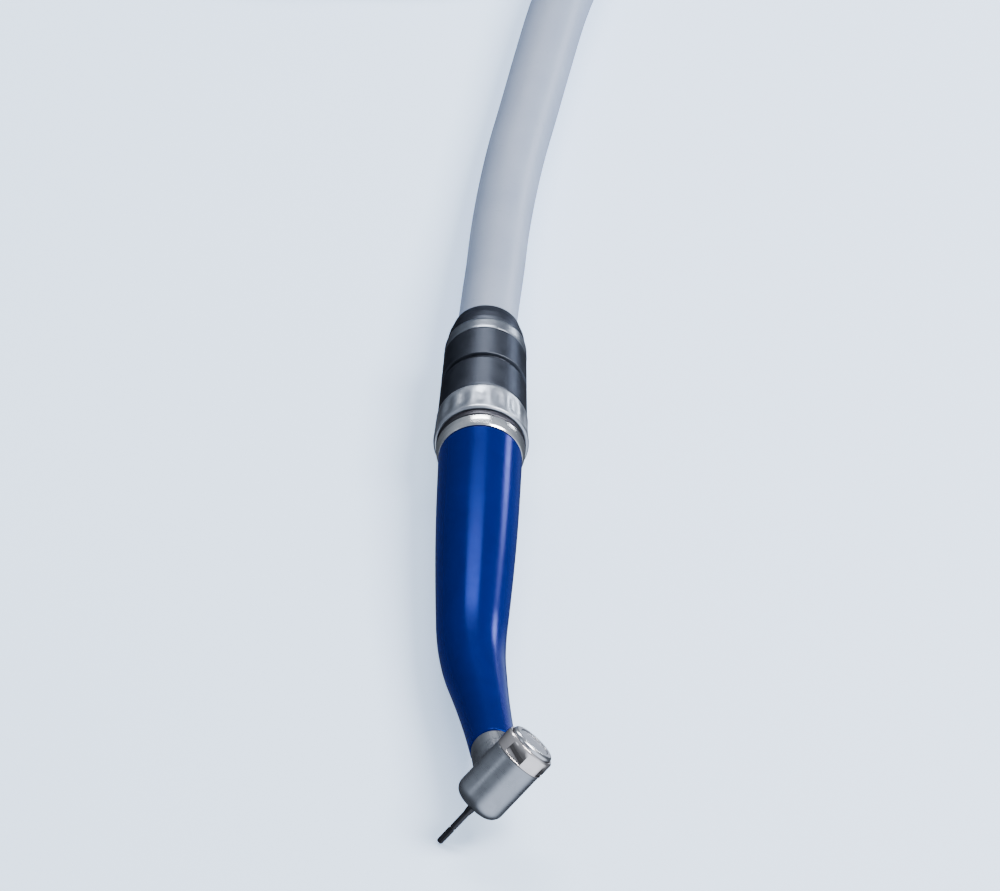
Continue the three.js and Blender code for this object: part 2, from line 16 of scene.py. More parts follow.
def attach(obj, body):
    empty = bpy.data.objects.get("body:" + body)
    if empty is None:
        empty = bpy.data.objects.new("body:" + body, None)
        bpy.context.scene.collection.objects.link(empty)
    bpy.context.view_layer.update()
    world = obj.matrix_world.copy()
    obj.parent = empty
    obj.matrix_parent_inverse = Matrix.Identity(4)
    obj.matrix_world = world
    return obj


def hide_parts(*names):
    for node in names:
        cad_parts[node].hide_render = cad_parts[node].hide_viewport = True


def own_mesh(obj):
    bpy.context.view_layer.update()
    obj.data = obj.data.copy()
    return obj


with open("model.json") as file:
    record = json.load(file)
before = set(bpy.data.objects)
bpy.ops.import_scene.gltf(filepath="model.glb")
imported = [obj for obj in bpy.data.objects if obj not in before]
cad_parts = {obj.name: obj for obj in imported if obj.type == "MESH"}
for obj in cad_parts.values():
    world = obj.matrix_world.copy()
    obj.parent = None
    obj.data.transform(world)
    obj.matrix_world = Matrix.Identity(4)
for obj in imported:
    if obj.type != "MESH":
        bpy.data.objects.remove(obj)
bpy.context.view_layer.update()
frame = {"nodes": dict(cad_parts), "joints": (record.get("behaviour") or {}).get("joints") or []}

MM = 0.001
DEGREE = math.pi / 180
JOINTS = {joint["name"]: joint for joint in frame["joints"]}

# ------------------------------------------------------------------ the two frames


def frame_from(origin, along_y, towards_z):
    """The matrix of a frame with Y along one direction and Z as near as it can be to another."""
    y = Vector(along_y).normalized()
    z = Vector(towards_z)
    z = (z - y * z.dot(y)).normalized()
    x = y.cross(z)
    turn = Matrix((x, y, z)).transposed()
    return Matrix.Translation(Vector(origin)) @ turn.to_4x4()


BODY_AXIS = Vector(JOINTS["nut_turn"]["axis"])
HEAD_AXIS = Vector(JOINTS["rotor_spin"]["axis"])
BODY = frame_from(JOINTS["nut_turn"]["pos_m"], BODY_AXIS, HEAD_AXIS)
HEAD = frame_from(JOINTS["rotor_spin"]["pos_m"], HEAD_AXIS, -BODY_AXIS)
WORLD = Matrix.Identity(4)

# ------------------------------------------------------------------ camera

VIEW_AZIMUTH = 1.7
VIEW_ELEVATION = 34.6
VIEW_DISTANCE = 6.0
VIEW_WIDTH = 0.185  # of the picture, at the object
TARGET_SHIFT = (3.65, 2.45)  # right and up from the shell's rear edge


def add_camera():
    azimuth, elevation = VIEW_AZIMUTH * DEGREE, VIEW_ELEVATION * DEGREE
    back = Vector((
        math.sin(azimuth) * math.cos(elevation),
        -math.cos(azimuth) * math.cos(elevation),
        math.sin(elevation),
    ))
    right = Vector((math.cos(azimuth), math.sin(azimuth), 0))
    up = back.cross(right)
    target = BODY.translation + (right * TARGET_SHIFT[0] + up * TARGET_SHIFT[1]) * MM
    data = bpy.data.cameras.new("camera")
    data.sensor_width = 36
    data.lens = data.sensor_width * VIEW_DISTANCE / VIEW_WIDTH
    data.clip_start, data.clip_end = 0.1, 30
    camera = bpy.data.objects.new("camera", data)
    camera.location = target + back * VIEW_DISTANCE
    camera.rotation_mode = "QUATERNION"
    camera.rotation_quaternion = (-back).to_track_quat("-Z", "Y")
    bpy.context.scene.collection.objects.link(camera)
    bpy.context.scene.camera = camera


# ------------------------------------------------------------------ mesh helpers

CORNER_STEPS = 4  # edges in a rounded corner


def add_object(name, data, material, body, slot, *nodes):
    piece = bpy.data.objects.new(name, data)
    bpy.context.scene.collection.objects.link(piece)
    data.materials.append(material)
    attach(piece, body)
    if nodes:
        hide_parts(*nodes)
    return piece


def rounded(points, radius, closed=True):
    """The same outline with its corners rounded. A point may carry its own radius as a third value."""
    count = len(points)
    result = []
    for i, point in enumerate(points):
        here = Vector(point[:2])
        fillet = point[2] if len(point) > 2 else radius
        at_end = not closed and i in (0, count - 1)
        before = Vector(points[i - 1][:2]) - here
        after = Vector(points[(i + 1) % count][:2]) - here
        if at_end or fillet <= 0:
            result.append(tuple(here))
            continue
        between = before.angle(after, math.pi)
        reach = min(fillet / math.tan(between / 2), 0.45 * before.length, 0.45 * after.length)
        start, end = here + before.normalized() * reach, here + after.normalized() * reach
        for k in range(CORNER_STEPS + 1):
            t = k / CORNER_STEPS
            spot = start * (1 - t) ** 2 + here * (2 * t * (1 - t)) + end * t * t
            result.append(tuple(spot))
    return result


def dense(points, step, closed):
    """The outline again, with extra points so that no edge is longer than step."""
    result = []
    last = len(points) if closed else len(points) - 1
    for i in range(last):
        start, end = Vector(points[i]), Vector(points[(i + 1) % len(points)])
        parts = max(1, math.ceil((end - start).length / step))
        result += [tuple(start.lerp(end, k / parts)) for k in range(parts)]
    if not closed:
        result.append(tuple(points[-1]))
    return result


def turned_mesh(name, profile, segments, place, shape=None, closed=True):
    """A solid turned about Y. A closed profile makes a ring; an open one starts and ends on the axis."""
    vertices, faces, rings = [], [], []
    for radius, y in profile:
        if radius < 1e-9:
            rings.append([len(vertices)])
            vertices.append(place(Vector((0, y, 0))))
            continue
        rings.append(list(range(len(vertices), len(vertices) + segments)))
        for k in range(segments):
            angle = 2 * math.pi * k / segments
            r, v = shape(angle, radius, y) if shape else (radius, y)
            vertices.append(place(Vector((r * math.sin(angle), v, r * math.cos(angle)))))
    pairs = list(zip(rings, rings[1:])) + ([(rings[-1], rings[0])] if closed else [])
    for a, b in pairs:
        for k in range(segments):
            n = (k + 1) % segments
            if len(a) == 1 and len(b) > 1:
                faces.append((a[0], b[k], b[n]))
            elif len(b) == 1 and len(a) > 1:
                faces.append((a[k], a[n], b[0]))
            elif len(a) > 1:
                faces.append((a[k], a[n], b[n], b[k]))
    return finished_mesh(name, vertices, faces)


def finished_mesh(name, vertices, faces, smooth=True):
    mesh = bpy.data.meshes.new(name)
    mesh.from_pydata([tuple(v) for v in vertices], [], faces)
    work = bmesh.new()
    work.from_mesh(mesh)
    bmesh.ops.recalc_face_normals(work, faces=work.faces)
    work.to_mesh(mesh)
    work.free()
    mesh.polygons.foreach_set("use_smooth", [smooth] * len(mesh.polygons))
    return mesh


def angles(segments):
    return [2 * math.pi * k / segments for k in range(segments)]


def even_normals(piece):
    """Flat faces shade flat beside their rounded edges."""
    modifier = piece.modifiers.new("even_normals", "WEIGHTED_NORMAL")
    modifier.mode = "FACE_AREA"
    modifier.weight = 100
    return piece


def placed_by(matrix):
    return lambda point: matrix @ (point * MM)


def boolean(mesh, tools, operation):
    """The mesh joined with, or cut by, other closed meshes."""
    made = []
    target = bpy.data.objects.new("boolean_target", mesh)
    bpy.context.scene.collection.objects.link(target)
    for tool in tools:
        helper = bpy.data.objects.new("boolean_tool", tool)
        bpy.context.scene.collection.objects.link(helper)
        made.append(helper)
        modifier = target.modifiers.new("boolean", "BOOLEAN")
        modifier.operation = operation
        modifier.solver = "EXACT"
        modifier.object = helper
    bpy.context.view_layer.update()
    shown = target.evaluated_get(bpy.context.evaluated_depsgraph_get())
    result = bpy.data.meshes.new_from_object(shown)
    for helper in [*made, target]:
        bpy.data.objects.remove(helper)
    result.polygons.foreach_set("use_smooth", [True] * len(result.polygons))
    return result


# ------------------------------------------------------------------ the bent centreline

BEND_START = 51
BEND_RADIUS = 84
BEND_ANGLE = 12 * DEGREE
HEAD_DISTANCE = 107.5
NECK_START = 97  # where the shell ends and the steel neck begins


def along(distance):
    """A point on the centreline and the directions forward and beside it."""
    past = max(0.0, distance - BEND_START)
    angle = min(past / BEND_RADIUS, BEND_ANGLE)
    beyond = past - angle * BEND_RADIUS
    forward = Vector((0, -math.cos(angle), math.sin(angle)))
    upward = Vector((0, math.sin(angle), math.cos(angle)))
    point = Vector((
        0,
        -min(distance, BEND_START) - BEND_RADIUS * math.sin(angle),
        BEND_RADIUS * (1 - math.cos(angle)),
    ))
    return point + forward * beyond, forward, upward


def bent(point):
    """Where a point drawn about a straight body, at y = -distance, lies on the bent one."""
    middle, _, upward = along(-point.y)
    return middle + upward * point.z + Vector((point.x, 0, 0))


def place_bent(point):
    return BODY @ (bent(point) * MM)


# ------------------------------------------------------------------ materials


def new_material(name):
    material = bpy.data.materials.new(name)
    material.use_nodes = True
    nodes = material.node_tree.nodes
    nodes.clear()
    output = nodes.new("ShaderNodeOutputMaterial")
    shader = nodes.new("ShaderNodeBsdfPrincipled")
    material.node_tree.links.new(shader.outputs[0], output.inputs[0])
    return material, shader


def local_coordinates(material, matrix, stretch=(1, 1, 1)):
    """Coordinates in millimetres in one of the frames, stretched to suit a texture."""
    nodes, links = material.node_tree.nodes, material.node_tree.links
    source = nodes.new("ShaderNodeTexCoord")
    to_frame = nodes.new("ShaderNodeMapping")
    to_frame.vector_type = "TEXTURE"
    to_frame.inputs["Location"].default_value = matrix.translation
    to_frame.inputs["Rotation"].default_value = matrix.to_euler()
    to_frame.inputs["Scale"].default_value = (MM, MM, MM)
    stretched = nodes.new("ShaderNodeMapping")
    stretched.inputs["Scale"].default_value = stretch
    links.new(source.outputs["Object"], to_frame.inputs["Vector"])
    links.new(to_frame.outputs[0], stretched.inputs["Vector"])
    return stretched.outputs[0]


def noise(material, vector, scale, detail, roughness, distortion=0.0):
    node = material.node_tree.nodes.new("ShaderNodeTexNoise")
    node.inputs["Scale"].default_value = scale
    node.inputs["Detail"].default_value = detail
    node.inputs["Roughness"].default_value = roughness
    node.inputs["Distortion"].default_value = distortion
    material.node_tree.links.new(vector, node.inputs["Vector"])
    return node.outputs[0]


def ranged(material, value, low, high, from_low=0.3, from_high=0.7):
    node = material.node_tree.nodes.new("ShaderNodeMapRange")
    node.inputs["From Min"].default_value = from_low
    node.inputs["From Max"].default_value = from_high
    node.inputs["To Min"].default_value = low
    node.inputs["To Max"].default_value = high
    material.node_tree.links.new(value, node.inputs["Value"])
    return node.outputs[0]


def mixed_colour(material, factor, first, second):
    node = material.node_tree.nodes.new("ShaderNodeMix")
    node.data_type = "RGBA"
    links = material.node_tree.links
    links.new(factor, node.inputs["Factor"])
    for socket, colour in ((6, first), (7, second)):
        if isinstance(colour, tuple):
            node.inputs[socket].default_value = (*colour, 1)
        else:
            links.new(colour, node.inputs[socket])
    return node.outputs[2]


def maths(material, operation, first, second):
    node = material.node_tree.nodes.new("ShaderNodeMath")
    node.operation = operation
    for socket, value in enumerate((first, second)):
        if isinstance(value, (int, float)):
            node.inputs[socket].default_value = value
        else:
            material.node_tree.links.new(value, node.inputs[socket])
    return node.outputs[0]


def bump(material, shader, height, strength, distance_mm):
    node = material.node_tree.nodes.new("ShaderNodeBump")
    node.inputs["Strength"].default_value = strength
    node.inputs["Distance"].default_value = distance_mm * MM
    links = material.node_tree.links
    links.new(height, node.inputs["Height"])
    links.new(node.outputs[0], shader.inputs["Normal"])


def edge_mask(material, start, end):
    """1 on worn outer edges and 0 elsewhere."""
    geometry = material.node_tree.nodes.new("ShaderNodeNewGeometry")
    return ranged(material, geometry.outputs["Pointiness"], 0, 1, start, end)


def crevice_shade_mask(material, reach_mm):
    """1 in the open and towards 0 deep in grooves and corners, where light doesn't reach: the mask of the
    painted shade.
    """
    node = material.node_tree.nodes.new("ShaderNodeAmbientOcclusion")
    node.samples = 8
    node.only_local = True
    node.inputs["Distance"].default_value = reach_mm * MM
    return ranged(material, node.outputs["AO"], 0, 1, 0.25, 0.85)


def turned_metal(
    name, matrix, colour, roughness, rings, ring_bump, smudge=0.06, wear=None, edge=0.6,
):
    """Metal with fine turning marks round the axis, faint smudges, painted shade in its grooves and corners
    and, if asked, worn edges.
    """
    material, shader = new_material(name)
    links = material.node_tree.links
    marks = noise(material, local_coordinates(material, matrix, (0.12, rings, 0.12)), 1.0, 6, 0.7)
    cloud = noise(material, local_coordinates(material, matrix), 0.35, 5, 0.6, 0.4)
    dull = tuple(0.88 * c for c in colour)
    bright = tuple(min(1.0, 1.06 * c) for c in colour)
    tone = mixed_colour(material, ranged(material, cloud, 0, 1), dull, bright)
    if wear:
        mask = edge_mask(material, 0.52, 0.6)
        worn = maths(material, "MULTIPLY", mask, ranged(material, cloud, 0.4, 1))
        tone = mixed_colour(material, worn, tone, wear)
    # painted shade: the colour darkens to 0.22 of itself in grooves and corners, by ambient occlusion
    painted_crevice_shade = tuple(0.22 * c for c in colour)
    links.new(mixed_colour(material, crevice_shade_mask(material, 1.2), painted_crevice_shade, tone), shader.inputs["Base Color"])
    streaks, smudges = ranged(material, marks, -0.05, 0.05), ranged(material, cloud, -smudge, smudge)
    spread = maths(material, "ADD", streaks, smudges)
    links.new(maths(material, "ADD", spread, roughness), shader.inputs["Roughness"])
    shader.inputs["Metallic"].default_value = 1.0
    shader.inputs["Specular Tint"].default_value = (edge, edge, 1.05 * edge, 1.0)
    bump(material, shader, marks, ring_bump, 0.02)
    return material


def blue_shell_material():
    """Glossy deep blue anodising, half a metal, with a faint drawn grain and wipe marks in its gloss."""
    material, shader = new_material("blue_shell")
    links = material.node_tree.links
    grain = noise(material, local_coordinates(material, BODY, (2.5, 0.12, 2.5)), 1.0, 4, 0.6)
    cloud = noise(material, local_coordinates(material, BODY, (1, 0.5, 1)), 0.12, 5, 0.6, 0.6)
    wipes = noise(material, local_coordinates(material, BODY, (0.5, 1.6, 0.5)), 0.4, 5, 0.6, 0.8)
    dark, light = (0.0001, 0.0058, 0.098), (0.0002, 0.0075, 0.12)
    tone = mixed_colour(material, ranged(material, cloud, 0, 1), dark, light)
    links.new(tone, shader.inputs["Base Color"])
    streaks, smears = ranged(material, grain, -0.015, 0.015), ranged(material, wipes, -0.03, 0.04)
    spread = maths(material, "ADD", streaks, smears)
    links.new(maths(material, "ADD", spread, 0.2), shader.inputs["Roughness"])
    shader.inputs["Metallic"].default_value = 0.3
    shader.inputs["Specular IOR Level"].default_value = 0.06
    shader.inputs["Specular Tint"].default_value = (0.15, 0.4, 1.0, 1.0)
    return material


def silicone_material():
    """Smooth pale silicone: softly lit inside, faintly mottled, with very fine extrusion lines."""
    material, shader = new_material("silicone_hose")
    links = material.node_tree.links
    position = local_coordinates(material, WORLD)
    cloud = noise(material, position, 0.06, 5, 0.6, 0.5)
    fine = noise(material, position, 2.2, 6, 0.7)
    specks = noise(material, position, 0.9, 2, 0.4)
    dark, light = (0.235, 0.28, 0.385), (0.27, 0.315, 0.42)
    tone = mixed_colour(material, ranged(material, cloud, 0, 1), dark, light)
    speck = ranged(material, specks, 0, 0.25, 0.66, 0.76)
    links.new(mixed_colour(material, speck, tone, (0.19, 0.23, 0.30)), shader.inputs["Base Color"])
    lines, mottle = ranged(material, fine, -0.05, 0.05), ranged(material, cloud, -0.05, 0.05)
    spread = maths(material, "ADD", lines, mottle)
    links.new(maths(material, "ADD", spread, 0.46), shader.inputs["Roughness"])
    shader.inputs["Subsurface Weight"].default_value = 0.12
    shader.inputs["Subsurface Radius"].default_value = (0.0016, 0.0015, 0.0014)
    shader.inputs["Subsurface Scale"].default_value = 1.0
    bump(material, shader, fine, 0.1, 0.02)
    return material


def moulded_material(name, colour, roughness, grain, strength):
    """Rubber, nylon and other moulded pieces, with a fine spark-eroded grain."""
    material, shader = new_material(name)
    links = material.node_tree.links
    position = local_coordinates(material, WORLD)
    texture = noise(material, position, grain, 5, 0.6)
    cloud = noise(material, position, 0.3, 4, 0.6)
    dull, bright = tuple(0.82 * c for c in colour), tuple(min(1.0, 1.15 * c) for c in colour)
    tone = mixed_colour(material, ranged(material, cloud, 0, 1), dull, bright)
    links.new(tone, shader.inputs["Base Color"])
    spread = maths(material, "ADD", ranged(material, texture, -0.07, 0.07), roughness)
    links.new(spread, shader.inputs["Roughness"])
    bump(material, shader, texture, strength, 0.03)
    return material


def strap_material():
    """Woven hook-and-loop strap: a fine basket weave with fuzz."""
    material, shader = new_material("hook_and_loop")
    links = material.node_tree.links
    waves = []
    for direction in ("X", "Y", "Z"):
        wave = material.node_tree.nodes.new("ShaderNodeTexWave")
        wave.bands_direction = direction
        wave.inputs["Scale"].default_value = 0.55
        wave.inputs["Distortion"].default_value = 0.6
        links.new(local_coordinates(material, WORLD), wave.inputs["Vector"])
        waves.append(wave.outputs["Fac"])
    weave = maths(material, "MULTIPLY", maths(material, "MAXIMUM", waves[0], waves[2]), waves[1])
    fuzz = noise(material, local_coordinates(material, WORLD), 6, 4, 0.7)
    height = maths(material, "ADD", weave, maths(material, "MULTIPLY", fuzz, 0.5))
    dark, light = (0.012, 0.014, 0.018), (0.06, 0.066, 0.075)
    tone = mixed_colour(material, ranged(material, height, 0, 1, 0, 1.2), dark, light)
    links.new(tone, shader.inputs["Base Color"])
    links.new(ranged(material, fuzz, 0.75, 0.95), shader.inputs["Roughness"])
    shader.inputs["Sheen Weight"].default_value = 0.5
    shader.inputs["Sheen Roughness"].default_value = 0.5
    bump(material, shader, height, 0.6, 0.12)
    return material


def floor_material():
    """A pale blue-white floor that gives off some light, so that it stays bright round the object."""
    material, shader = new_material("studio_floor")
    cloud = noise(material, local_coordinates(material, WORLD), 0.01, 3, 0.5)
    tone = mixed_colour(material, cloud, (0.66, 0.79, 0.99), (0.7, 0.82, 1.0))
    material.node_tree.links.new(tone, shader.inputs["Base Color"])
    shader.inputs["Roughness"].default_value = 0.6
    shader.inputs["Specular IOR Level"].default_value = 0.25
    shader.inputs["Emission Color"].default_value = (0.56, 0.74, 1.0, 1.0)
    shader.inputs["Emission Strength"].default_value = 1.0
    return material


def make_materials():
    return {
        "blue": blue_shell_material(),
        "hose": silicone_material(),
        "strap": strap_material(),
        "polished": turned_metal("polished_metal", BODY, (0.88, 0.895, 0.92), 0.2, 3.0, 0.05, 0.03),
        "accent": turned_metal("accent_metal", BODY, (0.30, 0.33, 0.385), 0.32, 3.0, 0.1, 0.04, edge=0.4),
        "grip": turned_metal("grip_metal", BODY, (0.58, 0.63, 0.72), 0.37, 3.0, 0.1, 0.05, edge=0.3),
        "dark": turned_metal(
            "dark_metal", BODY, (0.07, 0.079, 0.101), 0.42, 5.0, 0.2, 0.05, wear=(0.3, 0.32, 0.35), edge=0.4,
        ),
        "base": turned_metal("dark_steel", BODY, (0.09, 0.09, 0.105), 0.4, 5.0, 0.3, 0.05, edge=0.3),
        "satin": turned_metal(
            "satin_steel", HEAD, (0.40, 0.425, 0.475), 0.3, 3.5, 0.1, 0.05, wear=(0.74, 0.75, 0.78),
        ),
        "cap": turned_metal("cap_metal", HEAD, (0.93, 0.87, 0.86), 0.15, 3.0, 0.05, 0.04),
        "button": turned_metal("button_steel", HEAD, (0.66, 0.665, 0.70), 0.2, 4.0, 0.08, 0.05),
        "ground": turned_metal("ground_steel", HEAD, (0.62, 0.63, 0.65), 0.2, 7.0, 0.1, 0.03),
        "carbide": turned_metal("tungsten_carbide", HEAD, (0.04, 0.04, 0.046), 0.36, 9.0, 0.3),
        "bur": turned_metal("bur_steel", HEAD, (0.05, 0.05, 0.056), 0.32, 9.0, 0.2),
        "brass": turned_metal("brass_tube", BODY, (0.66, 0.5, 0.24), 0.28, 2.0, 0.1),
        "rubber": moulded_material("seal_rubber", (0.018, 0.02, 0.024), 0.62, 3.0, 0.3),
        "nylon": moulded_material("nylon_grey", (0.27, 0.30, 0.33), 0.46, 2.0, 0.25),
        "cage": moulded_material("bearing_cage", (0.3, 0.17, 0.06), 0.55, 6.0, 0.3),
        "impeller": moulded_material("impeller_black", (0.02, 0.02, 0.022), 0.3, 4.0, 0.1),
    }


# ------------------------------------------------------------------ hose: the same route as in CAD

HOSE_RADIUS = 5.5
HOSE_START = 32.3  # along the body's axis, behind the shell's rear edge
HOSE_STEP = 2.0  # between the centreline's points
TURN_PITCH = 11.1
HANK_INNER = 33
HANK_OUTER = HANK_INNER + TURN_PITCH
HANK_STRAIGHT = 58
HANK_X = -32
HANK_Y = 256
TIE_LIFT = 1.1
TAIL_TURN = 45 * DEGREE
TAIL_HEIGHT = 7.6
TAIL_RISE = 1.5 * DEGREE
TAIL_SLOPE = 0.026  # of the hose's last millimetres: the same rise
HOSE_ROUTE = [  # x and y from the coupling's mouth, z above the table
    (0, 0, 9.95), (0, 8, 10.2), (0.4, 18, 10), (0.9, 30, 8.8), (1.3, 44, 7.1), (2.1, 58, 6),
    (3.5, 73, 5.6), (5.6, 89, 5.55), (7.7, 105, 5.55), (10, 121, 5.65), (12.9, 136, 5.9), (15.1, 152, 6.25),
    (15.75, 163, 6.45), (15.95, 174, 6.6),
]


def smooth_step(value, low, high):
    share = min(1.0, max(0.0, (value - low) / (high - low)))
    return share * share * (3 - 2 * share)


def hank_line():
    """The centreline of four turns: two on the table, two on top of them, each wound inside the last."""
    low = TIE_LIFT + HOSE_RADIUS
    high = low + TURN_PITCH
    slots = [(HANK_OUTER, low), (HANK_OUTER, high), (HANK_INNER, high), (HANK_INNER, low)]
    crossings = [(0.45, 0.88), (0.22, 0.62), (0.0, 0.38)]  # shares of the near end loop
    far_y = HANK_Y + HANK_STRAIGHT
    line = []

    def straight(x, start, end, height):
        parts = round(abs(end - start) / HOSE_STEP)
        line.extend((x, start + (end - start) * k / parts, height) for k in range(parts))

    def loop(middle_y, start, end, before, after, window):
        parts = round(abs(end - start) * before[0] / HOSE_STEP)
        for k in range(parts):
            share = k / parts
            moved = smooth_step(share, *window)
            radius = before[0] + (after[0] - before[0]) * moved
            height = before[1] + (after[1] - before[1]) * moved
            angle = start + (end - start) * share
            line.append((HANK_X + radius * math.cos(angle), middle_y + radius * math.sin(angle), height))

    for turn, slot in enumerate(slots):
        straight(HANK_X + slot[0], HANK_Y, far_y, slot[1])
        loop(far_y, 0, math.pi, slot, slot, (0, 1))
        if turn < 3:
            straight(HANK_X - slot[0], far_y, HANK_Y, slot[1])
            loop(HANK_Y, math.pi, 2 * math.pi, slot, slots[turn + 1], crossings[turn])
    inside = (HANK_INNER, TAIL_HEIGHT)
    loop(far_y, math.pi, math.pi + TAIL_TURN, slots[3], inside, (0.1, 1))
    angle = math.pi + TAIL_TURN
    last = (HANK_X + HANK_INNER * math.cos(angle), far_y + HANK_INNER * math.sin(angle))
    heading = (-math.sin(angle), math.cos(angle))
    for forward in (0, 2.4, 4.8, 7.2):
        height = TAIL_HEIGHT + TAIL_SLOPE * forward
        line.append((last[0] + heading[0] * forward, last[1] + heading[1] * forward, height))
    return line


def spline_through(points, step):
    """Points along a smooth curve through the given ones, spaced by about step."""
    ends = [2 * points[0] - points[1], *points, 2 * points[-1] - points[-2]]
    result = []
    for a, b, c, d in zip(ends, ends[1:], ends[2:], ends[3:]):
        parts = max(1, round((c - b).length / step))
        for k in range(parts):
            t = k / parts
            result.append(0.5 * (2 * b + (c - a) * t + (2 * a - 5 * b + 4 * c - d) * t**2
                                 + (3 * b - a - 3 * c + d) * t**3))
    return result


def hose_line():
    mouth = BODY @ (Vector((0, HOSE_START, 0)) * MM) / MM
    run = [Vector((mouth.x + x, mouth.y + y, z)) for x, y, z in HOSE_ROUTE]
    run[0] = mouth
    hank = [Vector(point) for point in hank_line()]
    return spline_through([*run, hank[0]], HOSE_STEP) + hank


def add_hose(materials):
    line = hose_line()
    curve = bpy.data.curves.new("hose", "CURVE")
    curve.dimensions = "3D"
    curve.bevel_depth = HOSE_RADIUS * MM
    curve.bevel_resolution = 12
    curve.use_fill_caps = True
    spline = curve.splines.new("POLY")
    spline.points.add(len(line) - 1)
    for point, place in zip(spline.points, line):
        point.co = (*(place * MM), 1)
    spline.use_smooth = True
    hose = add_object(
        "hose", curve, materials["hose"], "handpiece", "silicone_hose", "hose_run", "hose_hank", "hose_tail",
    )
    return hose, line[0] * MM


# ------------------------------------------------------------------ body

SHELL_RADII = [
    (0, 7.8), (17, 7.68), (30, 7.42), (42, 7.02), (54, 6.52), (61, 6.16), (68, 5.76),
    (75, 5.26), (82, 4.84), (90, 4.52), (97, 4.4),
]
SHELL_WALL = 0.9


def shell_radius(distance):
    """The shell's outer radius, smooth through its driving stations."""
    stations = [Vector((d, r)) for d, r in SHELL_RADII]
    fine = [*spline_through(stations, 1.0), stations[-1]]
    return float(np.interp(distance, [p.x for p in fine], [p.y for p in fine]))


def add_shell(materials):
    distances = list(np.linspace(0.5, NECK_START - 0.35, 120))
    outside = [(shell_radius(d), -d) for d in distances]
    rear = [(shell_radius(0) - 0.25, -0.14), (shell_radius(0) - 0.07, -0.2), (shell_radius(0), -0.32)]
    tip = shell_radius(NECK_START)
    front = [(tip - 0.03, -NECK_START + 0.2), (tip - 0.1, -NECK_START + 0.08), (tip - 0.25, -NECK_START)]
    inner_distances = np.linspace(NECK_START, 0.14, 60)
    inside = [(shell_radius(d) - SHELL_WALL, -d) for d in inner_distances]
    mesh = turned_mesh("body_shell", [*rear, *outside, *front, *inside], 160, place_bent)
    even_normals(add_object("blue_body", mesh, materials["blue"], "handpiece", "blue_shell", "body_shell"))


def add_ring(
    name, profile, radius, matrix, material, body, slot, *nodes,
    segments=144, shape=None, closed=True, step=None,
):
    """A turned piece with rounded edges, standing for its CAD nodes."""
    outline = rounded(profile, radius, closed)
    if step:
        outline = dense(outline, step, closed)
    mesh = turned_mesh(name, outline, segments, placed_by(matrix), shape, closed)
    return even_normals(add_object(name, mesh, material, body, slot, *nodes))


# ------------------------------------------------------------------ coupling nut

NUT_SEGMENTS = 176
GRIP_FLUTES = 16
GRIP_DEPTH = 0.28
PORTS = [(-2.4, 1.6, 1.4), (2.4, 1.6, 1.1), (1.8, -2.4, 0.6), (-1.8, -2.4, 0.6)]  # x, z and radius


def port_rod(matrix, port, share, bottom, top):
    """A rod along one of the four passages, as wide as a share of it."""
    x, z, radius = port
    outline = [(0, bottom), (radius * share, bottom), (radius * share, top), (0, top)]
    centre = Vector((x, 0, z))
    return turned_mesh("port", outline, 32, lambda p: matrix @ ((p + centre) * MM), closed=False)


def fluted(angle, radius, y):
    """Shallow finger scallops that fade out towards both edges of the grip ring."""
    if radius < 8:
        return radius, y
    valley = 0.5 + 0.5 * math.cos(angle * GRIP_FLUTES)
    window = smooth_step(y, 4.9, 7.4) * (1 - smooth_step(y, 9.2, 11.6))
    return radius - GRIP_DEPTH * valley * window, y


